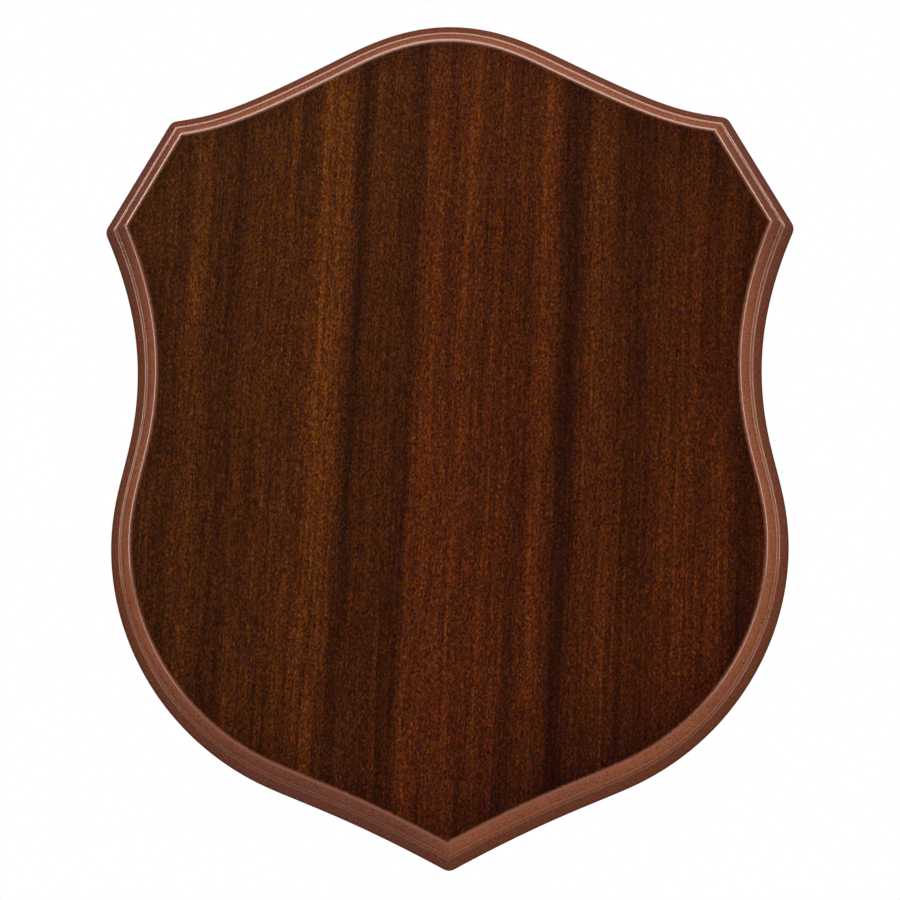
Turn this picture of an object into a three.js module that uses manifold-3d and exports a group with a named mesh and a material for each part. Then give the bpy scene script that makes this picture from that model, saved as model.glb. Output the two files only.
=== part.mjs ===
// A heraldic shield plaque for a wall: a fibreboard shield with a routed moulding round its edge,
// and a sheet of dark veneer on its face. Millimetres, +Z up. The back lies in the plane y = 0 and
// the face looks along -Y. The origin is the middle of the back.

import * as THREE from 'three';
import { mergeVertices } from 'three/addons/utils/BufferGeometryUtils.js';
import Module from 'manifold-3d';

const wasm = await Module();
wasm.setup();

// Overall sizes
const WIDTH = 220; // between the points of the two ears, before they are eased
const HEIGHT = 269.5; // from the point at the foot to the top of the crest
const THICKNESS = 16; // back to face, with the veneer
const VENEER_THICKNESS = 0.6;

// The moulding, from the outside in: a square edge, a round, a step and a second round
const ROUND_RADIUS = 6.4; // both rounds are cut with the same radius
const OUTER_ROUND_WIDTH = 3.1;
const INNER_ROUND_WIDTH = 3.35;
const STEP_LEDGE = 0.45; // flat bottom of the step
const STEP_RISE = 3; // height of the step
const STEP_LEAN = 0.4; // how far the rise of the step leans in
const CORNER_EASE = 3.3; // radius on the outer corners at the shoulders, the ears and the foot
const LEAST_EASE = 0.3; // radius left on those corners further in

// The keyhole slot in the back, which drops over the head of a screw
const KEYHOLE_FROM_CREST = 60; // from the top of the crest down to where the screw comes to rest
const KEYHOLE_RUN = 14; // from the middle of the entry hole up to there
const KEYHOLE_ENTRY = 10; // diameter of the hole that lets the screw head in, and of the undercut
const KEYHOLE_NECK = 5; // width of the slot for the shank
const KEYHOLE_DEPTH = 9;
const KEYHOLE_LIP = 3.5; // thickness of the wood that the screw head hooks behind
const CUT_CLEARANCE = 1; // how far the cutter starts outside the back

// Fineness of the curves
const STEPS_PER_CURVE = 14;
const STEPS_PER_CORNER = 5;
const STEPS_PER_ROUND = 6;
const STEPS_PER_SLOT_END = 20;
const STEPS_TO_MITRE = 12; // corrections when two inset edges are brought to their corner
const NUDGE_SHARE = 1e-3; // small share of a curve, to measure its speed

// The right half of the outline, from the crest down to the foot. A knot has its place, as shares
// of the width off the middle line and of the height above the foot, the heading of the edge in
// degrees below straight right, and how far the edge keeps near that heading before and after the
// knot, as shares of the height.
const crest = { acrossShare: 0, upShare: 1, degrees: 0, afterShare: 0.056 };
const slope = {
  acrossShare: 0.163, upShare: 0.961, degrees: 26.7, beforeShare: 0.037, afterShare: 0.1365,
};
const shoulder = { acrossShare: 0.4045, upShare: 0.887, degrees: 8.3, beforeShare: 0.0557 };
const ear = { acrossShare: 0.5, upShare: 0.754, degrees: 113.9, afterShare: 0.087 };
const waist = {
  acrossShare: 0.45, upShare: 0.58, degrees: 90, beforeShare: 0.037, afterShare: 0.09,
};
const belly = {
  acrossShare: 0.4854, upShare: 0.379, degrees: 90, beforeShare: 0.0747, afterShare: 0.114,
};
const tail = {
  acrossShare: 0.262, upShare: 0.099, degrees: 155.3, beforeShare: 0.126, afterShare: 0.0445,
};
const foot = { acrossShare: 0, upShare: 0, degrees: 151.5, beforeShare: 0.13 };

// The place of a knot in the plane of the board
function place(knot) {
  return new THREE.Vector2(knot.acrossShare * WIDTH, (knot.upShare - 0.5) * HEIGHT);
}

// A point ahead of a knot, or behind it where the share is negative, along the knot's heading
function along(knot, share) {
  const angle = THREE.MathUtils.degToRad(knot.degrees);
  const way = new THREE.Vector2(Math.cos(angle), -Math.sin(angle));
  return place(knot).addScaledVector(way, share * HEIGHT);
}

function bend(from, to) {
  return new THREE.CubicBezierCurve(
    place(from), along(from, from.afterShare), along(to, -to.beforeShare), place(to));
}

// A side is a run of smooth curves between two corners of the outline
const topSide = [bend(crest, slope), bend(slope, shoulder)];
const cheekSide = [new THREE.LineCurve(place(shoulder), place(ear))];
const flankSide = [bend(ear, waist), bend(waist, belly), bend(belly, tail), bend(tail, foot)];

// The point of a side at s, which counts whole curves, moved inwards by a depth, with the heading
// and the inward direction there
function insetPoint(side, s, depth) {
  const k = Math.min(Math.max(Math.floor(s), 0), side.length - 1);
  const tangent = side[k].getTangent(s - k);
  const inward = new THREE.Vector2(tangent.y, -tangent.x);
  const point = side[k].getPoint(s - k).addScaledVector(inward, depth);
  return { point, tangent, inward };
}

// How far the inset point moves for one unit of s
function speed(side, s, depth) {
  const before = insetPoint(side, s - NUDGE_SHARE, depth).point;
  const after = insetPoint(side, s + NUDGE_SHARE, depth).point;
  return after.distanceTo(before) / (2 * NUDGE_SHARE);
}

// Where two sides meet once both are moved inwards: the s on each side
function mitre(first, second, depth) {
  let a = first.length;
  let b = 0;
  for (let i = 0; i < STEPS_TO_MITRE; i += 1) {
    const p = insetPoint(first, a, depth);
    const q = insetPoint(second, b, depth);
    const gap = q.point.clone().sub(p.point);
    const turn = p.tangent.cross(q.tangent);
    a += gap.cross(q.tangent) / turn / speed(first, a, depth);
    b += gap.cross(p.tangent) / turn / speed(second, b, depth);
  }
  return { a, b };
}

// Where a side meets its own mirror image at the middle line
function mitreAtFoot(side, depth) {
  let a = side.length;
  for (let i = 0; i < STEPS_TO_MITRE; i += 1) {
    const p = insetPoint(side, a, depth);
    a -= p.point.x / p.tangent.x / speed(side, a, depth);
  }
  return a;
}

// Points of a side between two values of s, both ends included
function runOfSide(side, from, to, depth) {
  const straight = side[0] instanceof THREE.LineCurve;
  const count = straight ? 1 : side.length * STEPS_PER_CURVE;
  const points = [];
  for (let i = 0; i <= count; i += 1) {
    points.push(insetPoint(side, from + (to - from) * (i / count), depth).point);
  }
  return points;
}

// Points of the small arc round a corner, without its two ends
function runOfCorner(centre, radius, startInward, endInward) {
  const start = Math.atan2(-startInward.y, -startInward.x);
  const sweep = Math.atan2(-endInward.y, -endInward.x) - start;
  const turn = Math.atan2(Math.sin(sweep), Math.cos(sweep));
  const points = [];
  for (let i = 1; i < STEPS_PER_CORNER; i += 1) {
    const angle = start + turn * (i / STEPS_PER_CORNER);
    const spoke = new THREE.Vector2(Math.cos(angle), Math.sin(angle));
    points.push(centre.clone().addScaledVector(spoke, radius));
  }
  return points;
}

// The whole outline moved inwards by a depth, clockwise from the crest as seen from the front
function outline(depth) {
  const ease = Math.max(CORNER_EASE - depth, LEAST_EASE);
  const atShoulder = mitre(topSide, cheekSide, depth + ease);
  const atEar = mitre(cheekSide, flankSide, depth + ease);
  const atFoot = mitreAtFoot(flankSide, depth + ease);
  const shoulderHub = insetPoint(topSide, atShoulder.a, depth + ease);
  const shoulderEnd = insetPoint(cheekSide, atShoulder.b, depth + ease);
  const earHub = insetPoint(cheekSide, atEar.a, depth + ease);
  const earEnd = insetPoint(flankSide, atEar.b, depth + ease);
  const footHub = insetPoint(flankSide, atFoot, depth + ease);
  const footMirror = new THREE.Vector2(-footHub.inward.x, footHub.inward.y);
  const right = [
    ...runOfSide(topSide, 0, atShoulder.a, depth),
    ...runOfCorner(shoulderHub.point, ease, shoulderHub.inward, shoulderEnd.inward),
    ...runOfSide(cheekSide, atShoulder.b, atEar.a, depth),
    ...runOfCorner(earHub.point, ease, earHub.inward, earEnd.inward),
    ...runOfSide(flankSide, atEar.b, atFoot, depth),
  ];
  const underFoot = runOfCorner(footHub.point, ease, footHub.inward, footMirror);
  const left = right.slice(1).reverse().map((p) => new THREE.Vector2(-p.x, p.y));
  return [...right, ...underFoot, ...left];
}

// How far in and how high above its own start a round is, after a share of its turn
function roundPoint(width, share) {
  const turn = Math.acos(1 - width / ROUND_RADIUS) * share;
  return { depth: ROUND_RADIUS * (1 - Math.cos(turn)), height: ROUND_RADIUS * Math.sin(turn) };
}

const outerRoundHeight = roundPoint(OUTER_ROUND_WIDTH, 1).height;
const innerRoundHeight = roundPoint(INNER_ROUND_WIDTH, 1).height;
const squareEdge = THICKNESS - innerRoundHeight - STEP_RISE - outerRoundHeight;
const innerRoundStart = {
  depth: OUTER_ROUND_WIDTH + STEP_LEDGE + STEP_LEAN,
  height: squareEdge + outerRoundHeight + STEP_RISE,
};
const veneerBack = THICKNESS - VENEER_THICKNESS;

// The share of the inner round's turn at a height above the back
function innerShareAt(height) {
  const turn = Math.asin((height - innerRoundStart.height) / ROUND_RADIUS);
  return turn / Math.acos(1 - INNER_ROUND_WIDTH / ROUND_RADIUS);
}

function roundProfile(start, width, fromShare, toShare, steps) {
  const points = [];
  for (let i = 0; i <= steps; i += 1) {
    const step = roundPoint(width, fromShare + (toShare - fromShare) * (i / steps));
    points.push({ depth: start.depth + step.depth, height: start.height + step.height });
  }
  return points;
}

// The section of the board's edge, from the back up to the glue line under the veneer
const boardProfile = [
  { depth: 0, height: 0 },
  ...roundProfile({ depth: 0, height: squareEdge }, OUTER_ROUND_WIDTH, 0, 1, STEPS_PER_ROUND),
  { depth: OUTER_ROUND_WIDTH + STEP_LEDGE, height: squareEdge + outerRoundHeight },
  ...roundProfile(innerRoundStart, INNER_ROUND_WIDTH, 0, innerShareAt(veneerBack), STEPS_PER_ROUND),
];

// The veneer's cut edge carries on the inner round up to the face
const veneerProfile = roundProfile(
  innerRoundStart, INNER_ROUND_WIDTH, innerShareAt(veneerBack), 1, 2);

// A flat end of a solid: the ring filled in, facing to the front or to the back
function capTriangles(ring, firstIndex, toFront) {
  return THREE.ShapeUtils.triangulateShape(ring, []).flatMap(([a, b, c]) => {
    const turn = ring[b].clone().sub(ring[a]).cross(ring[c].clone().sub(ring[a]));
    const facesFront = turn > 0;
    const face = facesFront === toFront ? [a, b, c] : [a, c, b];
    return face.map((index) => firstIndex + index);
  });
}

// The closed solid whose edge follows a profile all the way round the shield
function shieldSolid(profile) {
  const rings = profile.map((p) => outline(p.depth));
  const count = rings[0].length;
  const positions = rings.flatMap((ring, i) => ring.flatMap((p) => [p.x, -profile[i].height, p.y]));
  const triangles = [];
  for (let i = 0; i + 1 < rings.length; i += 1) {
    for (let j = 0; j < count; j += 1) {
      const a = i * count + j;
      const b = i * count + ((j + 1) % count);
      triangles.push(a, b + count, b, a, a + count, b + count);
    }
  }
  triangles.push(...capTriangles(rings[0], 0, false));
  triangles.push(...capTriangles(rings.at(-1), count * (rings.length - 1), true));
  const geometry = new THREE.BufferGeometry();
  geometry.setAttribute('position', new THREE.Float32BufferAttribute(positions, 3));
  geometry.setIndex(triangles);
  return geometry;
}

// A closed geometry as a solid that can be cut and joined
function toSolid(geometry) {
  const bare = geometry.clone();
  bare.deleteAttribute('normal');
  bare.deleteAttribute('uv');
  const merged = mergeVertices(bare);
  return new wasm.Manifold(new wasm.Mesh({
    numProp: 3,
    vertProperties: new Float32Array(merged.attributes.position.array),
    triVerts: new Uint32Array(merged.index.array),
  }));
}

function toGeometry(solid) {
  const mesh = solid.getMesh();
  const geometry = new THREE.BufferGeometry();
  geometry.setAttribute('position', new THREE.BufferAttribute(mesh.vertProperties, 3));
  geometry.setIndex(new THREE.BufferAttribute(mesh.triVerts, 1));
  return geometry;
}

// A round hole sunk into the back
function hole(width, middle, toDepth) {
  const length = toDepth + CUT_CLEARANCE;
  const geometry = new THREE.CylinderGeometry(width / 2, width / 2, length, 2 * STEPS_PER_SLOT_END);
  geometry.translate(0, length / 2 - toDepth, middle);
  return toSolid(geometry);
}

// An upright slot with round ends, sunk into the back from one depth to another
function slot(width, low, high, fromDepth, toDepth) {
  const shape = new THREE.Shape();
  shape.absarc(0, high, width / 2, 0, Math.PI, false);
  shape.absarc(0, low, width / 2, Math.PI, 2 * Math.PI, false);
  const geometry = new THREE.ExtrudeGeometry(shape, {
    depth: toDepth - fromDepth,
    bevelEnabled: false,
    curveSegments: STEPS_PER_SLOT_END,
  });
  geometry.rotateX(Math.PI / 2);
  geometry.translate(0, -fromDepth, 0);
  return toSolid(geometry);
}

function keyhole() {
  const rest = HEIGHT / 2 - KEYHOLE_FROM_CREST;
  const entry = rest - KEYHOLE_RUN;
  const neck = slot(KEYHOLE_NECK, entry, rest, -CUT_CLEARANCE, KEYHOLE_DEPTH);
  const undercut = slot(KEYHOLE_ENTRY, entry, rest, KEYHOLE_LIP, KEYHOLE_DEPTH);
  return hole(KEYHOLE_ENTRY, entry, KEYHOLE_DEPTH).add(neck).add(undercut);
}

function makeBoard() {
  const solid = toSolid(shieldSolid(boardProfile)).subtract(keyhole());
  const lacquer = new THREE.MeshStandardMaterial({ color: 0x7d4a3c, roughness: 0.45, metalness: 0 });
  const board = new THREE.Mesh(toGeometry(solid), lacquer);
  board.name = 'board';
  return board;
}

function makeFaceVeneer() {
  const wood = new THREE.MeshStandardMaterial({ color: 0x3c1c0e, roughness: 0.5, metalness: 0 });
  const veneer = new THREE.Mesh(shieldSolid(veneerProfile), wood);
  veneer.name = 'face_veneer';
  return veneer;
}

const plaque = new THREE.Group();
plaque.add(makeBoard(), makeFaceVeneer());

export default plaque;
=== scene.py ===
"""A heraldic shield plaque: a stained fibreboard shield with a routed moulding, faced with dark veneer.

Metres, +Z up. The back lies in the plane y = 0, the face looks along -Y and the origin is the middle
of the back. Both pieces are surfaces worked out as grids: a section of the edge carried round the
outline of the shield.
"""

import math

import bpy
import numpy as np
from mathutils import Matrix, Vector


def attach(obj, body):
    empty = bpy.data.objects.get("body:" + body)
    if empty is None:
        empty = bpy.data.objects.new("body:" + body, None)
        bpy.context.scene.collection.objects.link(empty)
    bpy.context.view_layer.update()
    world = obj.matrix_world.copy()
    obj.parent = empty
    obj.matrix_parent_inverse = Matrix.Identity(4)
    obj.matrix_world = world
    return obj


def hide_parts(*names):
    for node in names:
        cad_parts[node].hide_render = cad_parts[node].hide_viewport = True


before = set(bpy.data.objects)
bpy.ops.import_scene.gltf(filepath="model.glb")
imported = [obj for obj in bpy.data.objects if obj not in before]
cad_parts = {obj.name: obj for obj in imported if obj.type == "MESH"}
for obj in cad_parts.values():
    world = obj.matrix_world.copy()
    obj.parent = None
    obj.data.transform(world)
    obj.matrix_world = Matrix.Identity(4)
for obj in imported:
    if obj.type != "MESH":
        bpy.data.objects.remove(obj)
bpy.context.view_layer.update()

MM = 0.001

# Overall sizes, as the solids have them
WIDTH = 220 * MM
HEIGHT = 269.5 * MM
THICKNESS = 16 * MM
VENEER_THICKNESS = 0.6 * MM

# The moulding, from the outside in
ROUND_RADIUS = 6.4 * MM
OUTER_ROUND_WIDTH = 3.1 * MM
INNER_ROUND_WIDTH = 3.35 * MM
STEP_LEDGE = 0.45 * MM
STEP_RISE = 3 * MM
STEP_LEAN = 0.4 * MM
CORNER_EASE = 3.45 * MM  # the solids have 3.3, in flats, and the smooth round stays inside them
LEAST_EASE = 0.3 * MM

# What only the finished piece shows: a narrow lip on top of the step, and a flatter inner round
LIP_WIDTH = 0.34 * MM
LIP_RISE = 0.13 * MM
INNER_TURN_DEGREES = 38

# How far sanding and lacquer soften each edge of the section, measured along it
BACK_EDGE_EASE = 0.5 * MM
LEDGE_EDGE_EASE = 0.4 * MM
LEDGE_ROOT_EASE = 0.16 * MM
LIP_EASE = 0.2 * MM
FACE_EDGE_EASE = 0.55 * MM
FACE_EDGE_REACH = 1.4 * MM

# The keyhole slot in the back
KEYHOLE_FROM_CREST = 60 * MM
KEYHOLE_RUN = 14 * MM
KEYHOLE_ENTRY = 10 * MM
KEYHOLE_NECK = 5 * MM
KEYHOLE_DEPTH = 9 * MM
KEYHOLE_LIP = 3.5 * MM
KEYHOLE_ARRIS = 0.25 * MM
HUB_OVER_ENTRY = 1.5 * MM  # the hub is a point from which the whole rim of the keyhole can be seen

# How far the section of the edge runs on to the back and the face, and the band of close rings that
# follows it on the face
EDGE_MARGIN = 3 * MM
FACE_BAND = 12 * MM

# Fineness of the grids
STEP_ALONG = 1.2 * MM
CORNER_STEPS = 8
MITRE_STEPS = 12
ROUND_STEPS = 16
LINE_STEPS = 4
EASE_STEPS = 7
EASE_PULL = 0.6  # the handles of a softened edge, as shares of its reach
BACK_RINGS = 12
BACK_CROWDING = 1.5  # the power by which the rings of the back crowd round the keyhole
FACE_RINGS = 24
FINE_STEPS = 400  # for each curve, where the length of a side is measured
HAIR = 1e-9  # less than any size that counts

# The photograph's frame, the camera that took it and where the camera looks
PICTURE_PIXELS = 900
PIXELS_PER_MM = 3.156
CAMERA_DISTANCE = 1.1108
CAMERA_BELOW_DEGREES = 7.66
CAMERA_RIGHT_DEGREES = 2.0
SENSOR = 36.0
AIM = Vector((0.3, 0.0, -1.9)) * MM


# The camera

def make_camera():
    """Stands a little below and to the right of the plaque and looks up at its middle."""
    below = math.radians(CAMERA_BELOW_DEGREES)
    right = math.radians(CAMERA_RIGHT_DEGREES)
    way = Vector((
        math.sin(right) * math.cos(below),
        -math.cos(right) * math.cos(below),
        -math.sin(below),
    ))
    data = bpy.data.cameras.new("camera")
    data.sensor_width = SENSOR
    data.lens = SENSOR * CAMERA_DISTANCE / MM * PIXELS_PER_MM / PICTURE_PIXELS
    camera = bpy.data.objects.new("camera", data)
    camera.location = way * CAMERA_DISTANCE
    camera.rotation_euler = (AIM - camera.location).to_track_quat("-Z", "Y").to_euler()
    bpy.context.scene.collection.objects.link(camera)
    bpy.context.scene.camera = camera


# The outline of the shield

def knot(across, up, degrees, before=0.0, after=0.0):
    """A knot of the right half of the outline: its place, as shares of the width off the middle
    line and of the height above the foot, and the points before and after it along its heading,
    which is given in degrees below straight right."""
    place = np.array([across * WIDTH, (up - 0.5) * HEIGHT])
    angle = math.radians(degrees)
    way = np.array([math.cos(angle), -math.sin(angle)]) * HEIGHT
    return {"place": place, "before": place - way * before, "after": place + way * after}


CREST = knot(0, 1, 0, after=0.056)
SLOPE = knot(0.163, 0.961, 26.7, before=0.037, after=0.1365)
SHOULDER = knot(0.4045, 0.887, 8.3, before=0.0557)
EAR = knot(0.5, 0.754, 113.9, after=0.087)
WAIST = knot(0.45, 0.58, 90, before=0.037, after=0.09)
BELLY = knot(0.4854, 0.379, 90, before=0.0747, after=0.114)
TAIL = knot(0.262, 0.099, 155.3, before=0.126, after=0.0445)
FOOT = knot(0, 0, 151.5, before=0.13)


def bend(start, end):
    """The four control points of the cubic curve between two knots."""
    return np.array([start["place"], start["after"], end["before"], end["place"]])


def straight(start, end):
    """A straight edge between two knots, as a cubic curve with its points at thirds."""
    share = np.linspace(0, 1, 4)[:, None]
    return start["place"] * (1 - share) + end["place"] * share


TOP_SIDE = [bend(CREST, SLOPE), bend(SLOPE, SHOULDER)]
CHEEK_SIDE = [straight(SHOULDER, EAR)]
FLANK_SIDE = [bend(EAR, WAIST), bend(WAIST, BELLY), bend(BELLY, TAIL), bend(TAIL, FOOT)]


def inset_points(side, s, depth):
    """Points of a side at s, which counts whole curves, moved inwards by a depth. The cubic is the
    sum of its control points by Bernstein weights, and the inward way is its tangent turned a
    quarter to the right. Returns points, tangents, inward ways and speeds."""
    s = np.atleast_1d(np.asarray(s, float))
    k = np.clip(np.floor(s).astype(int), 0, len(side) - 1)
    t = (s - k)[:, None]
    p = np.array(side)[k]
    u = 1 - t
    point = u**3 * p[:, 0] + 3 * u**2 * t * p[:, 1] + 3 * u * t**2 * p[:, 2] + t**3 * p[:, 3]
    rate = 3 * (u**2 * (p[:, 1] - p[:, 0]) + 2 * u * t * (p[:, 2] - p[:, 1])
                + t**2 * (p[:, 3] - p[:, 2]))
    speed = np.linalg.norm(rate, axis=1)
    tangent = rate / speed[:, None]
    inward = np.stack([tangent[:, 1], -tangent[:, 0]], 1)
    return point + inward * depth, tangent, inward, speed


def cross(a, b):
    """The flat cross product of two plane vectors."""
    return a[0] * b[1] - a[1] * b[0]


def mitre(first, second, depth):
    """Where two sides meet once both are moved inwards: the s on each, by stepping both points
    along their tangents to the crossing of the tangent lines, again and again."""
    a = float(len(first))
    b = 0.0
    for _ in range(MITRE_STEPS):
        p, tp, _, vp = (x[0] for x in inset_points(first, a, depth))
        q, tq, _, vq = (x[0] for x in inset_points(second, b, depth))
        turn = cross(tp, tq)
        a += cross(q - p, tq) / turn / vp
        b += cross(q - p, tp) / turn / vq
    return a, b


def mitre_at_foot(side, depth):
    """Where a side, moved inwards, meets the middle line."""
    a = float(len(side))
    for _ in range(MITRE_STEPS):
        p, tangent, _, speed = (x[0] for x in inset_points(side, a, depth))
        a -= p[0] / tangent[0] / speed
    return a


def side_shares(side):
    """Shares of a side's run of s at which its points lie about one step apart."""
    fine = np.linspace(0, len(side), FINE_STEPS * len(side) + 1)
    points = inset_points(side, fine, 0.0)[0]
    length = np.r_[0, np.cumsum(np.linalg.norm(np.diff(points, axis=0), axis=1))]
    count = max(2, round(length[-1] / STEP_ALONG))
    return np.interp(np.linspace(0, length[-1], count + 1), length, fine) / len(side)


SHARES = {
    "top": side_shares(TOP_SIDE),
    "cheek": side_shares(CHEEK_SIDE),
    "flank": side_shares(FLANK_SIDE),
}


def corner_arc(centre, radius, start_inward, end_inward):
    """Points on a small arc round a corner between two outward ways, without its ends."""
    start = math.atan2(-start_inward[1], -start_inward[0])
    sweep = math.atan2(-end_inward[1], -end_inward[0]) - start
    turn = math.atan2(math.sin(sweep), math.cos(sweep))
    angle = start + turn * np.arange(1, CORNER_STEPS) / CORNER_STEPS
    return centre + radius * np.stack([np.cos(angle), np.sin(angle)], 1)


def outline(depth):
    """The whole outline moved inwards by a depth, clockwise from the crest as seen from the front:
    the right half is its three sides and the arcs between them, and the left half mirrors it."""
    ease = max(CORNER_EASE - depth, LEAST_EASE)
    top_end, cheek_start = mitre(TOP_SIDE, CHEEK_SIDE, depth + ease)
    cheek_end, flank_start = mitre(CHEEK_SIDE, FLANK_SIDE, depth + ease)
    flank_end = mitre_at_foot(FLANK_SIDE, depth + ease)

    def run(side, name, start, end):
        return inset_points(side, start + (end - start) * SHARES[name], depth)[0]

    def hub(side, s):
        centre, _, inward, _ = inset_points(side, s, depth + ease)
        return centre[0], inward[0]

    shoulder, shoulder_in = hub(TOP_SIDE, top_end)
    _, cheek_in = hub(CHEEK_SIDE, cheek_start)
    ear, ear_in = hub(CHEEK_SIDE, cheek_end)
    _, flank_in = hub(FLANK_SIDE, flank_start)
    foot, foot_in = hub(FLANK_SIDE, flank_end)
    right = np.concatenate([
        run(TOP_SIDE, "top", 0.0, top_end),
        corner_arc(shoulder, ease, shoulder_in, cheek_in),
        run(CHEEK_SIDE, "cheek", cheek_start, cheek_end),
        corner_arc(ear, ease, ear_in, flank_in),
        run(FLANK_SIDE, "flank", flank_start, flank_end),
    ])
    under_foot = corner_arc(foot, ease, foot_in, foot_in * [-1, 1])
    left = right[:0:-1] * [-1, 1]
    return np.concatenate([right, under_foot, left])


# The section of the edge: each point is how far in from the outline and how high above the back

def round_section(start, width, steps=ROUND_STEPS):
    """A round that leaves its start straight forwards and turns inwards on one radius."""
    turn = np.linspace(0, math.acos(1 - width / ROUND_RADIUS), steps + 1)
    return np.stack([start[0] + ROUND_RADIUS * (1 - np.cos(turn)),
                     start[1] + ROUND_RADIUS * np.sin(turn)], 1)


def arc_section(start, end, turn, steps=ROUND_STEPS):
    """A round between two points that turns inwards by an angle: the tangent starts half the turn
    steeper than the chord and swings evenly to half the turn flatter, and the points are its sum."""
    chord = np.subtract(end, start)
    steepest = math.atan2(chord[1], chord[0]) + turn / 2
    radius = np.linalg.norm(chord) / (2 * math.sin(turn / 2))
    slope = steepest - np.linspace(0, turn, steps + 1)
    return np.stack([start[0] + radius * (math.sin(steepest) - np.sin(slope)),
                     start[1] + radius * (np.cos(slope) - math.cos(steepest))], 1)


def line_section(start, end, steps=ROUND_STEPS):
    """A straight run between two points, by even shares of the way."""
    share = np.linspace(0, 1, steps + 1)[:, None]
    return np.array(start) * (1 - share) + np.array(end) * share


def cut_back(piece, reach):
    """The part of a run of points that ends a reach before its last point, and the tangent there."""
    step = np.linalg.norm(np.diff(piece, axis=0), axis=1)
    length = np.r_[0, np.cumsum(step)]
    stop = length[-1] - reach
    kept = piece[length < stop - HAIR]
    end = np.array([np.interp(stop, length, piece[:, i]) for i in (0, 1)])
    way = end - kept[-1]
    return np.vstack([kept, end]), way / np.linalg.norm(way)


def ease_between(first, second, reach_before, reach_after):
    """Joins two runs of points with a soft corner: a cubic from a reach before the corner to a
    reach after it, along the tangents at its ends."""
    before, way_in = cut_back(first, reach_before)
    after, way_out = cut_back(second[::-1], reach_after)
    after = after[::-1]
    a, d = before[-1], after[0]
    b = a + way_in * reach_before * EASE_PULL
    c = d + way_out * reach_after * EASE_PULL
    t = np.linspace(0, 1, EASE_STEPS + 2)[1:-1, None]
    u = 1 - t
    soft = u**3 * a + 3 * u**2 * t * b + 3 * u * t**2 * c + t**3 * d
    return np.vstack([before, soft, after])


INNER_RISE = ROUND_RADIUS * math.sin(math.acos(1 - INNER_ROUND_WIDTH / ROUND_RADIUS))
OUTER_RISE = ROUND_RADIUS * math.sin(math.acos(1 - OUTER_ROUND_WIDTH / ROUND_RADIUS))
SQUARE_EDGE = THICKNESS - INNER_RISE - STEP_RISE - OUTER_RISE
LEDGE = SQUARE_EDGE + OUTER_RISE
STEP_INSET = OUTER_ROUND_WIDTH + STEP_LEDGE
LIP_INSET = STEP_INSET + STEP_LEAN
FACE_INSET = LIP_INSET + INNER_ROUND_WIDTH
GLUE_LINE = THICKNESS - VENEER_THICKNESS


def edge_section():
    """The whole section from the back, round its edge and the moulding, to a little way on to the
    face, with every edge softened."""
    lip_top = LEDGE + STEP_RISE
    back = line_section((EDGE_MARGIN, 0), (0, 0), LINE_STEPS)
    square = line_section((0, 0), (0, SQUARE_EDGE), LINE_STEPS)
    outer = round_section((0, SQUARE_EDGE), OUTER_ROUND_WIDTH)
    ledge = line_section((OUTER_ROUND_WIDTH, LEDGE), (STEP_INSET, LEDGE))
    rise = line_section((STEP_INSET, LEDGE), (LIP_INSET, lip_top))
    lip = line_section((LIP_INSET, lip_top), (LIP_INSET + LIP_WIDTH, lip_top + LIP_RISE))
    inner = arc_section(lip[-1], (FACE_INSET, THICKNESS), math.radians(INNER_TURN_DEGREES))
    face = line_section((FACE_INSET, THICKNESS), (FACE_INSET + EDGE_MARGIN, THICKNESS))
    section = ease_between(back, np.vstack([square[:-1], outer]), BACK_EDGE_EASE, BACK_EDGE_EASE)
    section = ease_between(section, ledge, LEDGE_EDGE_EASE, STEP_LEDGE / 2)
    section = ease_between(section, rise, LEDGE_ROOT_EASE, LEDGE_ROOT_EASE)
    section = ease_between(section, lip, LIP_EASE, LIP_WIDTH / 2)
    section = ease_between(section, inner, LIP_WIDTH / 4, LIP_EASE)
    return ease_between(section, face, FACE_EDGE_EASE, FACE_EDGE_REACH)


# The keyhole, as seen from a hub on the middle line

REST = HEIGHT / 2 - KEYHOLE_FROM_CREST
ENTRY = REST - KEYHOLE_RUN
HUB = np.array([0.0, ENTRY + HUB_OVER_ENTRY])


def ray_to_circle(ways, centre, radius):
    """How far each way from the hub is to the far side of a circle: the larger root of the circle's
    square law along the ray, or the ray's nearest point where it misses the circle."""
    offset = HUB - centre
    along = ways @ offset
    return -along + np.sqrt(np.maximum(along**2 - offset @ offset + radius**2, 0))


def ray_to_slot(ways, low, high, radius):
    """How far each way from the hub is to an upright slot with round ends: to its straight sides
    where the ray meets them between the ends, and otherwise to one of the end circles."""
    to_side = radius / np.maximum(np.abs(ways[:, 0]), HAIR)
    at = HUB[1] + ways[:, 1] * to_side
    to_high = ray_to_circle(ways, np.array([0, high]), radius)
    to_low = ray_to_circle(ways, np.array([0, low]), radius)
    return np.where(at > high, to_high, np.where(at < low, to_low, to_side))


def keyhole_ring(ways, grow):
    """The rim of the keyhole at the back: the farther of its entry hole and its neck."""
    hole = ray_to_circle(ways, np.array([0, ENTRY]), KEYHOLE_ENTRY / 2 - KEYHOLE_ARRIS + grow)
    neck = ray_to_slot(ways, ENTRY, REST, KEYHOLE_NECK / 2 + grow)
    return HUB + ways * np.maximum(hole, neck)[:, None]


def undercut_ring(ways):
    """The wall of the undercut behind the neck: a slot as wide as the entry hole."""
    return HUB + ways * ray_to_slot(ways, ENTRY, REST, KEYHOLE_ENTRY / 2)[:, None]


# Meshes

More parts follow.
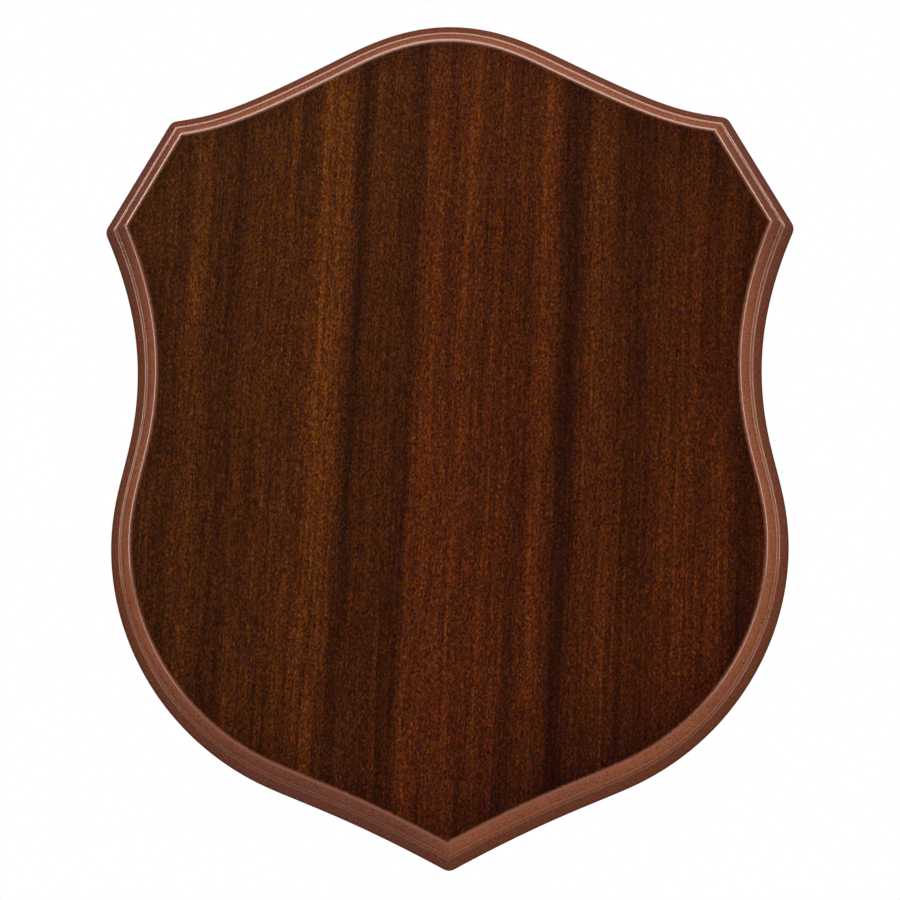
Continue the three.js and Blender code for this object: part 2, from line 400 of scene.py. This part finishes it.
def closed_surface(name, rings, heights, insets):
    """A closed surface through rings of equal count, first to last, with a flat fan in the first
    and the last ring. Faces look outwards for rings that run clockwise as seen from the front and
    climb from the back over the edge. Carries each point's inset from the outline as an attribute."""
    count = len(rings[0])
    points = np.concatenate([
        np.column_stack([r[:, 0], np.full(count, -h), r[:, 1]]) for r, h in zip(rings, heights)])
    ends = np.array([[rings[i][:, 0].mean(), -heights[i], HUB[1]] for i in (0, -1)])
    points = np.vstack([points, ends])
    column = np.arange(count)
    following = np.roll(column, -1)
    base = (np.arange(len(rings) - 1) * count)[:, None]
    quads = np.stack([column + base, column + base + count,
                      following + base + count, following + base], -1).reshape(-1, 4)
    first_pole = len(rings) * count
    top = (len(rings) - 1) * count
    fans = np.vstack([
        np.stack([column, following, np.full(count, first_pole)], 1),
        np.stack([following + top, column + top, np.full(count, first_pole + 1)], 1),
    ])
    faces = quads.tolist() + fans.tolist()
    mesh = bpy.data.meshes.new(name)
    mesh.from_pydata(points.tolist(), [], faces)
    depth = np.concatenate([np.broadcast_to(i, count) for i in insets])
    depth = np.append(depth, [depth[0], depth[-1]])
    attribute = mesh.attributes.new("inset", "FLOAT", "POINT")
    attribute.data.foreach_set("value", depth.astype(np.float32))
    mesh.polygons.foreach_set("use_smooth", np.ones(len(mesh.polygons), bool))
    mesh.update()
    piece = bpy.data.objects.new(name, mesh)
    bpy.context.scene.collection.objects.link(piece)
    return piece


def ruled(inner, outer, shares):
    """Rings between two rings, by straight shares of the way."""
    return [inner * (1 - s) + outer * s for s in shares]


def drawn_in(ring, shares):
    """Copies of a ring drawn in towards the hub, each to a share of its distance from it."""
    return [HUB + (ring - HUB) * s for s in shares]


UNSEEN_SHARES = (0.5,)  # on the floor of the keyhole and under the veneer
MIDDLE_SHARES = (0.6, 0.2)
MIDDLE_INSETS = (40 * MM, 60 * MM)


def glue_line_inset(section):
    """How far in the moulding has come where it reaches the glue line."""
    return np.interp(GLUE_LINE, section[:, 1], section[:, 0])


def make_board():
    """The board: up from the floor of the keyhole, over its lip, out across the back, round the
    moulding and in under the veneer."""
    section = edge_section()
    on_back = section[:, 1] < HAIR
    cut = glue_line_inset(section)
    moulding = section[~on_back & (section[:, 1] < GLUE_LINE)]
    moulding = np.vstack([moulding, [cut, GLUE_LINE]])
    ways = outline(0.0) - HUB
    ways /= np.linalg.norm(ways, axis=1)[:, None]
    undercut = undercut_ring(ways)
    mouth = keyhole_ring(ways, 0.0)
    rim = keyhole_ring(ways, KEYHOLE_ARRIS)
    back_edge = outline(section[on_back][-1, 0])
    shares = np.linspace(0, 1, BACK_RINGS + 1)[1:] ** BACK_CROWDING
    keyhole = [*drawn_in(undercut, UNSEEN_SHARES), undercut, undercut, mouth, mouth, rim]
    rings = [
        *keyhole,
        *ruled(rim, back_edge, shares),
        *(outline(d) for d in moulding[:, 0]),
        *drawn_in(outline(cut), UNSEEN_SHARES),
    ]
    heights = [KEYHOLE_DEPTH, KEYHOLE_DEPTH, KEYHOLE_LIP, KEYHOLE_LIP, KEYHOLE_ARRIS, 0.0]
    heights += [0.0] * len(shares) + [*moulding[:, 1], GLUE_LINE]
    across = np.linalg.norm(back_edge - rim, axis=1)
    insets = [across] * len(keyhole) + [across * (1 - s) for s in shares] + [*moulding[:, 0], cut]
    return closed_surface("moulded_board", rings, heights, insets)


def make_veneer():
    """The sheet: from under its middle out along the glue line, up its cut edge, over the softened
    edge of the face and in across the face."""
    section = edge_section()
    cut = glue_line_inset(section)
    over = section[section[:, 1] > GLUE_LINE]
    flat = np.linspace(over[-1, 0], over[-1, 0] + FACE_BAND, FACE_RINGS + 1)[1:]
    edge = outline(cut)
    rings = [
        *drawn_in(edge, UNSEEN_SHARES),
        edge,
        *(outline(d) for d in over[:, 0]),
        *(outline(d) for d in flat),
        *drawn_in(outline(flat[-1]), MIDDLE_SHARES),
    ]
    heights = [GLUE_LINE, GLUE_LINE, *over[:, 1]]
    heights += [THICKNESS] * (len(rings) - len(heights))
    insets = [cut, cut, *over[:, 0], *flat, *MIDDLE_INSETS]
    return closed_surface("veneer_sheet", rings, heights, insets)


# Shader nodes

NODE_SPACING = 180
MIDDLE = 0.5  # of every noise

# The cells that a noise is built on: how far they are shifted, and how far they can be turned
CELL_SHIFT = (0.0, 0.37, 0.0)
CELL_TURN = math.radians(27)


class Graph:
    """Adds nodes to a node tree in a row and feeds their inputs by plain values or sockets."""

    def __init__(self, tree):
        self.tree = tree
        self.column = 0

    def feed(self, made, key, value):
        """Links a socket to an input, or writes a plain value into it."""
        if isinstance(value, bpy.types.NodeSocket):
            self.tree.links.new(value, made.inputs[key])
        else:
            made.inputs[key].default_value = value

    def node(self, kind, inputs=None, **settings):
        """Adds a node, makes its settings and then feeds its inputs, by name or number."""
        made = self.tree.nodes.new(kind)
        made.location = (self.column * NODE_SPACING, 0)
        self.column += 1
        for key, value in settings.items():
            setattr(made, key, value)
        for key, value in (inputs or {}).items():
            self.feed(made, key, value)
        return made

    def math(self, operation, a, b=0.0, third=0.0):
        return self.node("ShaderNodeMath", {0: a, 1: b, 2: third}, operation=operation).outputs[0]

    def lerp(self, share, a, b):
        """A plain number between two others, by a share."""
        return self.node("ShaderNodeMix", {0: share, 2: a, 3: b}, data_type="FLOAT").outputs[0]

    def mix(self, share, a, b, blend="MIX"):
        """A colour between two others by a share, or another blend of them."""
        inputs = {0: share, 6: a, 7: b}
        return self.node("ShaderNodeMix", inputs, data_type="RGBA", blend_type=blend).outputs[2]

    def ramp(self, value, low, high, to_low=0.0, to_high=1.0):
        """A smooth step of a value from one bound to the other."""
        inputs = {"Value": value, "From Min": low, "From Max": high, "To Min": to_low, "To Max": to_high}
        return self.node("ShaderNodeMapRange", inputs, interpolation_type="SMOOTHSTEP").outputs["Result"]

    def noise(self, vector, scale=1.0, detail=2.0, roughness=0.5, output="Fac"):
        inputs = {"Vector": vector, "Scale": scale, "Detail": detail, "Roughness": roughness}
        return self.node("ShaderNodeTexNoise", inputs, noise_dimensions="3D").outputs[output]

    def stretched(self, vector, scale, turn=0.0):
        """Coordinates for a stretched noise. The turn comes after the stretch, so the noise keeps its
        upright grain while the cells that it is built on lie askew and don't show as rows. The shift
        takes the flat faces of the plaque off the planes between cells, where a noise is at its
        plainest."""
        inputs = {"Vector": vector, "Scale": scale, "Rotation": (0.0, turn, 0.0), "Location": CELL_SHIFT}
        return self.node("ShaderNodeMapping", inputs).outputs["Vector"]

    def stray(self, noise, amount, value):
        """A value plus an amount of a noise, which takes it to either side."""
        return self.math("MULTIPLY_ADD", self.math("SUBTRACT", noise, MIDDLE), amount, third=value)

    def place(self):
        """The point itself, and its three coordinates."""
        point = self.node("ShaderNodeTexCoord").outputs["Object"]
        return point, self.node("ShaderNodeSeparateXYZ", {"Vector": point}).outputs

    def inset(self):
        """How far in from the outline the point lies."""
        return self.node("ShaderNodeAttribute", attribute_name="inset").outputs["Fac"]


def colour(red, green, blue):
    """A colour given as the picture shows it, turned into light."""
    def light(value):
        value /= 255
        return value / 12.92 if value <= 0.04045 else ((value + 0.055) / 1.055) ** 2.4
    return (light(red), light(green), light(blue), 1.0)


def new_group(name, inputs, outputs):
    """A node group with named number inputs, and outputs of the kinds given by name."""
    tree = bpy.data.node_groups.new(name, "ShaderNodeTree")
    for label in inputs:
        tree.interface.new_socket(label, in_out="INPUT", socket_type="NodeSocketFloat")
    for label, kind in outputs.items():
        tree.interface.new_socket(label, in_out="OUTPUT", socket_type=kind)
    return tree, Graph(tree)


# The lacquer: how rough and how strong its shine is on the veneer, on the stained moulding and on
# the bare board, the tint of its shine, and how deep the grain shows through it
VENEER_ROUGHNESS = 0.13
VENEER_SHINE = 0.8
VENEER_RELIEF = 0.006 * MM
STAIN_ROUGHNESS = 0.19
STAIN_SHINE = 0.95
BARE_ROUGHNESS = 0.75
BOARD_RELIEF = 0.004 * MM
LACQUER_TINT = (1.0, 0.77, 0.64, 1.0)


def new_material(name, roughness, shine):
    """A material with one Principled shader, its plain values set on the shader itself."""
    material = bpy.data.materials.new(name)
    material.use_nodes = True
    material.node_tree.nodes.clear()
    graph = Graph(material.node_tree)
    shader = graph.node("ShaderNodeBsdfPrincipled", {
        "Roughness": roughness,
        "Specular IOR Level": shine,
        "Specular Tint": LACQUER_TINT,
    })
    graph.node("ShaderNodeOutputMaterial", {"Surface": shader.outputs["BSDF"]})
    return material, graph, shader


def finish(graph, shader, shown, height, distance):
    """Feeds the colour and the relief to the shader."""
    bump = graph.node("ShaderNodeBump", {"Height": height, "Distance": distance, "Strength": 1.0})
    graph.feed(shader, "Base Color", shown)
    graph.feed(shader, "Normal", bump.outputs["Normal"])


# The stain of the moulding

# Its colours, as the picture shows them in even light
STAIN_OUTSIDE = colour(128, 70, 45)
STAIN_INSIDE = colour(173, 102, 70)
STAIN_MAUVE = colour(126, 74, 62)
STAIN_DEEP = colour(66, 29, 22)
STAIN_AT_FACE = colour(132, 84, 71)
STAIN_AT_FACE_WIDTH = 0.5 * MM
# The colour of the step's edges: stain worn thin there, lightened further as a painted highlight
RUBBED_AND_HIGHLIGHT = colour(196, 138, 112)

# Where it is rubbed paler, with a painted highlight laid along the same lines: the inset of each edge,
# how far to either side, and how much
RUBBED_AND_HIGHLIGHT_EDGES = (
    (OUTER_ROUND_WIDTH + 0.1 * MM, 0.45 * MM, 0.24),
    (LIP_INSET + LIP_WIDTH / 2, 0.35 * MM, 0.12),
)

# How the board beneath mottles it: slow clouds of mauve, and fine dark specks
STAIN_CLOUD = {"scale": 26.0, "detail": 3.0, "roughness": 0.6}
STAIN_CLOUD_RANGE = (0.4, 0.7)
STAIN_CLOUD_MOST = 0.3
STAIN_SPECKS = {"scale": 2300.0, "detail": 2.0, "roughness": 0.7}
STAIN_SPECKS_RANGE = (0.62, 0.38)
STAIN_SPECKS_MOST = 0.7

# Where it is mauve all over, at each cheek also as painted shade: from where to where it sets in across
# and upwards, and how much
MAUVE_AND_SHADE_ON_CHEEKS = ((84 * MM, 94 * MM), (35 * MM, 70 * MM), 0.75)
MAUVE_LOW_LEFT = ((5 * MM, -15 * MM), (-60 * MM, -110 * MM), 0.6)


def patch(graph, across, up, bounds):
    """A patch with soft edges: the product of a smooth step across and one upwards."""
    across_bounds, up_bounds, most = bounds
    sideways = graph.ramp(across, *across_bounds)
    return graph.math("MULTIPLY", sideways, graph.ramp(up, *up_bounds, 0.0, most))


def make_stain_group():
    """The reddish stain: darker outside the step than inside it, mottled by the board beneath, mauve
    at each cheek, with painted shade darkening it there, and mauve low on the left, darker at the face,
    and rubbed paler along the two edges of the step, where a painted highlight is laid in as well. Its
    height is that of the specks."""
    outputs = {"Color": "NodeSocketColor", "Height": "NodeSocketFloat"}
    tree, graph = new_group("moulding_stain", ["Inset"], outputs)
    inset = graph.node("NodeGroupInput").outputs["Inset"]
    point, axes = graph.place()
    cloud = graph.ramp(graph.noise(point, **STAIN_CLOUD), *STAIN_CLOUD_RANGE, 0.0, STAIN_CLOUD_MOST)
    specks = graph.noise(point, **STAIN_SPECKS)
    stain = graph.mix(graph.ramp(inset, OUTER_ROUND_WIDTH, LIP_INSET), STAIN_OUTSIDE, STAIN_INSIDE)
    stain = graph.mix(cloud, stain, STAIN_MAUVE)
    # Mauve at each cheek is a purplish tone and also painted shade, darkening the stain where less light
    # reaches those sides
    cheek_mauve_and_shade = patch(graph, graph.math("ABSOLUTE", axes["X"]), axes["Z"], MAUVE_AND_SHADE_ON_CHEEKS)
    low_left = patch(graph, axes["X"], axes["Z"], MAUVE_LOW_LEFT)
    stain = graph.mix(graph.math("MAXIMUM", cheek_mauve_and_shade, low_left), stain, STAIN_MAUVE)
    deep = graph.ramp(specks, *STAIN_SPECKS_RANGE, 0.0, STAIN_SPECKS_MOST)
    stain = graph.mix(deep, stain, STAIN_DEEP)
    at_face = graph.ramp(inset, FACE_INSET - STAIN_AT_FACE_WIDTH, FACE_INSET)
    stain = graph.mix(at_face, stain, STAIN_AT_FACE)
    # Each step edge is paler from wear and lighter still from a painted highlight
    for middle, width, most in RUBBED_AND_HIGHLIGHT_EDGES:
        away = graph.math("ABSOLUTE", graph.math("SUBTRACT", inset, middle))
        stain = graph.mix(graph.ramp(away, width, 0.0, 0.0, most), stain, RUBBED_AND_HIGHLIGHT)
    graph.node("NodeGroupOutput", {"Color": stain, "Height": specks})
    return tree


# The figure of the veneer

# Each stripe has its left reach, middle and right reach in millimetres off the middle line, and how
# much lighter it is at the crest and at the foot, in steps of a picture's 255.
STRIPES = {
    "left edge shade": (-94, -87, -84, -4, -8),
    "left light line": (-86, -82, -78, 13, -4),
    "left dark": (-80, -70, -64, -5, -12),
    "left pale field": (-67, -57, -47, 6, -4),
    "bright field": (-50, -40, -31, 24, 7),
    "first dark": (-35, -31, -27, -14, -14),
    "line between": (-29, -26, -22, 4, -7),
    "olive field": (-27, -19, -12, 0, -10),
    "second dark": (-19, -13, -10, -8, -14),
    "warm edge": (-13, -8, 0, 12, 11),
    "warm middle": (-5, 3, 11, 14, 8),
    "red middle": (7, 14, 20, 9, 3),
    "red shade": (16, 22, 27, 2, -6),
    "right bright": (23, 29, 34, 15, 9),
    "narrow dark": (31, 37, 43, -15, -22),
    "right light": (40, 47, 52, 13, -4),
    "right light below": (45, 51, 56, 0, 12),
    "soft dark": (47, 58, 69, -11, -7),
    "right warm": (64, 71, 80, 0, 8),
    "right warm below": (74, 82, 90, -8, 6),
    "right edge shade": (86, 93, 100, -10, -16),
}
STRIPE_STRENGTH = 1.12
BASE_TONE = 65
FULL_TONE = 255
STRIPE_CREST = 90 * MM
STRIPE_FOOT = -90 * MM

# The lines that the stripes follow: how far they lean, how much of the lean is lost for each metre
# to the right, and how they sway
LEAN_AT_MIDDLE = 0.046
LEAN_LOSS = 0.15
SWAY_CELLS = (14.0, 1.0, 11.0)
SWAY_REACH = 2.5 * MM

# The grain, from broad to fine: how many cells a metre across, through and up, the turn of the
# cells, the detail and roughness of the noise, and how much it counts
GRAIN = {
    "streaks": ((420.0, 1.0, 6.0), 0.0, 2.0, 0.5, 0.48),
    "lines": ((1300.0, 1.0, 30.0), CELL_TURN / 6, 1.0, 0.5, 0.69),
    "fibres": ((1400.0, 1.0, 160.0), CELL_TURN / 2, 1.0, 0.5, 0.32),
    "specks": ((1900.0, 1.0, 1100.0), CELL_TURN, 2.0, 0.6, 1.38),
}
PORE_CELLS = (2600.0, 1.0, 1450.0)
PORE_WEIGHT = 0.57

# The shades: towards the moulding, and low on the right, by a slanting distance from the middle
RIM_SHADE = 0.87
RIM_SHADE_WIDTH = 10 * MM
LOW_RIGHT_SLANT = 0.5
LOW_RIGHT_RANGE = (85 * MM, 145 * MM)
LOW_RIGHT_SHADE = 0.72

# The colours of the wood by tone, again as the picture shows them
WOOD_TONES = {
    25: (25, 8, 4),
    40: (40, 15, 6),
    54: (53, 22, 8),
    67: (66, 29, 9),
    84: (83, 37, 10),
    100: (100, 46, 12),
    130: (132, 66, 20),
}

# What the colour is multiplied by in the olive parts and in the redder ones, where these set in on
# the left and end on the right, and how much green and blue is lost for each metre to the right
# and for each metre down
OLIVE_TINT = (1.0, 1.03, 1.0, 1.0)
RED_TINT = (1.0, 0.92, 1.0, 1.0)
RED_FROM = (-16 * MM, -8 * MM)
RED_TO = (45 * MM, 15 * MM)
REDDER_TO_RIGHT = 1.4
REDDER_DOWNWARDS = 0.7

# The tinge of single fibres: a factor for each of red, green and blue, a level and a least value
FLECK_CELLS = (1900.0, 1.0, 1300.0)
FLECK_TINGE = (0.4, 2.9, 7.2)
FLECK_LEVEL = (0.8, -0.43, -2.45)
FLECK_LEAST = (0.1, 0.1, 0.1)

# Where the stain of the moulding ends on the veneer, and the bare line along it
STAIN_REACH = 7.85 * MM
STAIN_RAGGED = 1.1 * MM
BARE_LINE_WIDTH = 0.7 * MM
BARE_LINE = colour(104, 56, 30)


def make_stripe_group():
    """A soft upright stripe of the wood's figure: a smooth rise from its left reach to its middle
    and a fall to its right reach, with a tone that runs evenly from the foot to the crest."""
    labels = ("Across", "Height Share", "Left", "Middle", "Right", "Crest Tone", "Foot Tone")
    tree, graph = new_group("figure_stripe", labels, {"Tone": "NodeSocketFloat"})
    given = graph.node("NodeGroupInput").outputs
    rise = graph.ramp(given["Across"], given["Left"], given["Middle"])
    fall = graph.ramp(given["Across"], given["Right"], given["Middle"])
    tone = graph.lerp(given["Height Share"], given["Foot Tone"], given["Crest Tone"])
    tone = graph.math("MULTIPLY", tone, graph.math("MULTIPLY", rise, fall))
    graph.node("NodeGroupOutput", {"Tone": tone})
    return tree


def grain_place(graph, point, axes):
    """Coordinates that follow the leaning, swaying lines of the wood: across them, through the board
    and up."""
    lean = graph.math("SUBTRACT", LEAN_AT_MIDDLE, graph.math("MULTIPLY", axes["X"], LEAN_LOSS))
    upright = graph.math("SUBTRACT", axes["X"], graph.math("MULTIPLY", axes["Z"], lean))
    sway = graph.noise(graph.stretched(point, SWAY_CELLS))
    across = graph.stray(sway, SWAY_REACH, upright)
    inputs = {"X": across, "Y": axes["Y"], "Z": axes["Z"]}
    return across, graph.node("ShaderNodeCombineXYZ", inputs).outputs[0]


def striped_tone(graph, across, up):
    """The tone of the stripes, in shares of white: the base tone plus every stripe's own."""
    share = graph.node("ShaderNodeMapRange", {
        "Value": up, "From Min": STRIPE_FOOT, "From Max": STRIPE_CREST,
    }, clamp=False).outputs["Result"]
    stripe_group = make_stripe_group()
    tone = BASE_TONE / FULL_TONE
    for left, middle, right, crest, foot in STRIPES.values():
        stripe = graph.node("ShaderNodeGroup", {
            "Across": across,
            "Height Share": share,
            "Left": left * MM,
            "Middle": middle * MM,
            "Right": right * MM,
            "Crest Tone": crest * STRIPE_STRENGTH / FULL_TONE,
            "Foot Tone": foot * STRIPE_STRENGTH / FULL_TONE,
        }, node_tree=stripe_group)
        tone = graph.math("ADD", stripe.outputs["Tone"], tone)
    return tone


def grain_spread(graph, grain):
    """How much lighter or darker the grain makes the wood, as the exponent of a factor: the noises
    and the pores by their weights. Also returns the specks."""
    spread = 0.0
    noises = {}
    for name, (cells, turn, detail, roughness, weight) in GRAIN.items():
        noises[name] = graph.noise(graph.stretched(grain, cells, turn), 1.0, detail, roughness)
        spread = graph.stray(noises[name], weight, spread)
    pores = graph.node("ShaderNodeTexVoronoi", {
        "Vector": graph.stretched(grain, PORE_CELLS, CELL_TURN), "Scale": 1.0, "Randomness": 1.0,
    }).outputs["Color"]
    pores = graph.node("ShaderNodeSeparateXYZ", {"Vector": pores}).outputs["X"]
    return graph.stray(pores, PORE_WEIGHT, spread), noises["specks"]


def wood_tint(graph, axes, red, grain):
    """What the colour is multiplied by: olive or red, less green and blue to the right and below,
    and a tinge of its own in each fibre."""
    tint = graph.mix(red, OLIVE_TINT, RED_TINT)
    tinge = graph.noise(graph.stretched(grain, FLECK_CELLS, -CELL_TURN), detail=1.0, output="Color")
    fleck = graph.node("ShaderNodeVectorMath", {0: tinge, 1: FLECK_TINGE, 2: FLECK_LEVEL},
                       operation="MULTIPLY_ADD").outputs[0]
    fleck = graph.node("ShaderNodeVectorMath", {0: fleck, 1: FLECK_LEAST}, operation="MAXIMUM").outputs[0]
    cooler = graph.math("MULTIPLY_ADD", axes["X"], -REDDER_TO_RIGHT, third=1.0)
    cooler = graph.math("MULTIPLY_ADD", axes["Z"], REDDER_DOWNWARDS, third=cooler)
    slant = graph.node("ShaderNodeCombineXYZ", {"X": 1.0, "Y": cooler, "Z": cooler}).outputs[0]
    tint = graph.mix(1.0, tint, fleck, "MULTIPLY")
    return graph.mix(1.0, tint, slant, "MULTIPLY")


def wood_palette(graph, tone):
    """The colour of the wood at a tone."""
    palette = graph.node("ShaderNodeValToRGB", {"Fac": tone})
    stops = palette.color_ramp.elements
    while len(stops) < len(WOOD_TONES):
        stops.new(0.5)
    for stop, (level, shown) in zip(stops, WOOD_TONES.items()):
        stop.position = level / FULL_TONE
        stop.color = colour(*shown)
    return palette.outputs["Color"]


def veneer_material(stain_group):
    """Dark straight-grained veneer, more olive to the left and redder to the right. Its edge is
    under the stain of the moulding, which ends in a ragged line with a bare orange rim."""
    material, graph, shader = new_material("dark_veneer", VENEER_ROUGHNESS, VENEER_SHINE)
    point, axes = graph.place()
    inset = graph.inset()
    across, grain = grain_place(graph, point, axes)
    spread, specks = grain_spread(graph, grain)
    tone = graph.math("MULTIPLY", striped_tone(graph, across, axes["Z"]), graph.math("EXPONENT", spread))
    rim = graph.ramp(inset, STAIN_REACH, STAIN_REACH + RIM_SHADE_WIDTH, RIM_SHADE, 1.0)
    down = graph.math("MULTIPLY", axes["Z"], -1.0)
    slanting = graph.math("MULTIPLY_ADD", axes["X"], LOW_RIGHT_SLANT, third=down)
    low_right = graph.ramp(slanting, *LOW_RIGHT_RANGE)
    shade = graph.math("MULTIPLY", rim, graph.lerp(low_right, 1.0, LOW_RIGHT_SHADE))
    tone = graph.math("MULTIPLY", tone, shade)
    red = graph.math("MULTIPLY", graph.ramp(across, *RED_FROM), graph.ramp(across, *RED_TO))
    red = graph.math("MAXIMUM", red, low_right)
    wood = graph.mix(1.0, wood_palette(graph, tone), wood_tint(graph, axes, red, grain), "MULTIPLY")
    stain = graph.node("ShaderNodeGroup", {"Inset": inset}, node_tree=stain_group).outputs["Color"]
    ragged = graph.stray(specks, STAIN_RAGGED, inset)
    bare = graph.ramp(ragged, STAIN_REACH + BARE_LINE_WIDTH, STAIN_REACH)
    stained = graph.ramp(ragged, STAIN_REACH + BARE_LINE_WIDTH / 4, STAIN_REACH - BARE_LINE_WIDTH / 4)
    shown = graph.mix(stained, graph.mix(bare, wood, BARE_LINE), stain)
    finish(graph, shader, shown, specks, VENEER_RELIEF)
    return material


# The bare board

BARE_BOARD = colour(186, 150, 112)
BARE_BOARD_DARK = colour(150, 112, 78)
CHIP_CELLS = (620.0, 620.0, 620.0)
CHIP_DETAIL = {"detail": 5.0, "roughness": 0.72}
CHIP_RANGE = (0.35, 0.7)

# The stain blown over the rim of the back: how ragged it is, from where to where it fades, and
# where the back and the keyhole slot begin
SPRAY_CELLS = (40.0, 40.0, 40.0)
SPRAY_DETAIL = {"detail": 3.0}
SPRAY_RAGGED = 12 * MM
SPRAY_RANGE = (0.5 * MM, 9 * MM)
BACK_RANGE = (-0.9 * MM, -0.1 * MM)
SLOT_RANGE = (10 * MM, 12 * MM)


def stained_material(stain_group):
    """Fibreboard: stained and lacquered over the moulding, and bare on its back and in the keyhole
    slot, with some of the stain blown over its rim."""
    material, graph, shader = new_material("stained_board", STAIN_ROUGHNESS, STAIN_SHINE)
    point, axes = graph.place()
    inset = graph.inset()
    stain = graph.node("ShaderNodeGroup", {"Inset": inset}, node_tree=stain_group).outputs
    chips = graph.noise(graph.stretched(point, CHIP_CELLS, CELL_TURN), **CHIP_DETAIL)
    spray = graph.noise(graph.stretched(point, SPRAY_CELLS, CELL_TURN), **SPRAY_DETAIL)
    board = graph.mix(graph.ramp(chips, *CHIP_RANGE), BARE_BOARD, BARE_BOARD_DARK)
    clear_of_spray = graph.ramp(graph.stray(spray, SPRAY_RAGGED, inset), *SPRAY_RANGE)
    behind = graph.ramp(axes["Y"], *BACK_RANGE)
    in_slot = graph.ramp(inset, *SLOT_RANGE)
    bare = graph.math("MULTIPLY", clear_of_spray, graph.math("MAXIMUM", behind, in_slot))
    shown = graph.mix(bare, stain["Color"], board)
    relief = graph.lerp(bare, stain["Height"], chips)
    finish(graph, shader, shown, relief, BOARD_RELIEF)
    graph.feed(shader, "Roughness", graph.ramp(bare, 0.0, 1.0, STAIN_ROUGHNESS, BARE_ROUGHNESS))
    return material


# The studio

# The white that the camera sees, and the even fill that the plaque gets from all round
WORLD_SEEN = 1.0
WORLD_FILL = 0.75

# Rectangular lights that face the plaque: azimuth to the right of the front and elevation in
# degrees, width and height in metres, power, and whether they give shine or fill. The key draws the
# top line and arris of the moulding, and each card those of one side.
LIGHT_DISTANCE = 1.6
LIGHTS = {
    "key": (0, 49, (2.0, 0.8), 28.5, "shine"),
    "key_fill": (0, 49, (2.0, 0.8), 20, "fill"),
    "left_card": (-46, 20, (0.3, 1.2), 9.6, "shine"),
    "right_card": (42, 20, (0.3, 1.2), 8.2, "shine"),
    "crest_card": (-6, 30, (0.4, 0.3), 0.45, "shine"),
    "left_high_card": (-41, 29, (0.45, 0.45), 2.9, "shine"),
    "right_high_card": (39, 29, (0.45, 0.45), 2.0, "shine"),
    "left_low_card": (-38, -12, (0.3, 0.45), 1.4, "shine"),
    "right_low_card": (34, -12, (0.3, 0.45), 1.7, "shine"),
    "low_fill": (32, -38, (1.2, 1.2), 4.8, "fill"),
}

# The floor: far enough below that no view from under the plaque is blocked by it
FLOOR_REACH = 8.0
FLOOR_HEIGHT = -1.6
FLOOR_COLOUR = (0.8, 0.8, 0.8, 1)
FLOOR_ROUGHNESS = 0.9
FLOOR_SHINE = 0.2


def area_light(name, azimuth, elevation, size, power, gives):
    """A soft light on a sphere round the plaque, turned to face its middle."""
    turn = math.radians(azimuth)
    lift = math.radians(elevation)
    way = Vector((math.sin(turn) * math.cos(lift), -math.cos(turn) * math.cos(lift), math.sin(lift)))
    data = bpy.data.lights.new(name, "AREA")
    data.shape = "RECTANGLE"
    data.size, data.size_y = size
    data.energy = power
    light = bpy.data.objects.new(name, data)
    light.location = way * LIGHT_DISTANCE
    light.rotation_euler = (-way).to_track_quat("-Z", "Y").to_euler()
    light.visible_diffuse = gives == "fill"
    light.visible_glossy = gives == "shine"
    bpy.context.scene.collection.objects.link(light)


def make_world():
    """A white ground for the camera, and an even fill for everything else that doesn't shine."""
    world = bpy.data.worlds.new("studio")
    bpy.context.scene.world = world
    world.use_nodes = True
    world.node_tree.nodes.clear()
    graph = Graph(world.node_tree)
    path = graph.node("ShaderNodeLightPath").outputs
    white = (1, 1, 1, 1)
    fill = graph.node("ShaderNodeBackground", {"Color": white, "Strength": WORLD_FILL}).outputs[0]
    seen = graph.node("ShaderNodeBackground", {"Color": white, "Strength": WORLD_SEEN}).outputs[0]
    shown = graph.node("ShaderNodeMixShader", {0: path["Is Camera Ray"], 1: fill, 2: seen}).outputs[0]
    graph.node("ShaderNodeOutputWorld", {"Surface": shown})
    world.cycles_visibility.glossy = False


def make_floor():
    """A wide flat floor."""
    corners = ((-1, -1), (1, -1), (1, 1), (-1, 1))
    places = [(x * FLOOR_REACH, y * FLOOR_REACH, FLOOR_HEIGHT) for x, y in corners]
    mesh = bpy.data.meshes.new("floor")
    mesh.from_pydata(places, [], [(0, 1, 2, 3)])
    floor = bpy.data.objects.new("floor", mesh)
    bpy.context.scene.collection.objects.link(floor)
    material, graph, shader = new_material("pale_floor", FLOOR_ROUGHNESS, FLOOR_SHINE)
    graph.feed(shader, "Base Color", FLOOR_COLOUR)
    mesh.materials.append(material)
    floor.visible_glossy = False


bpy.context.scene.view_settings.view_transform = "Standard"
make_camera()
make_world()
for label, values in LIGHTS.items():
    area_light(label, *values)
make_floor()
stain_group = make_stain_group()

board = make_board()
board.data.materials.append(stained_material(stain_group))
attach(board, "root")
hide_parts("board")

veneer = make_veneer()
veneer.data.materials.append(veneer_material(stain_group))
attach(veneer, "root")
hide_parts("face_veneer")
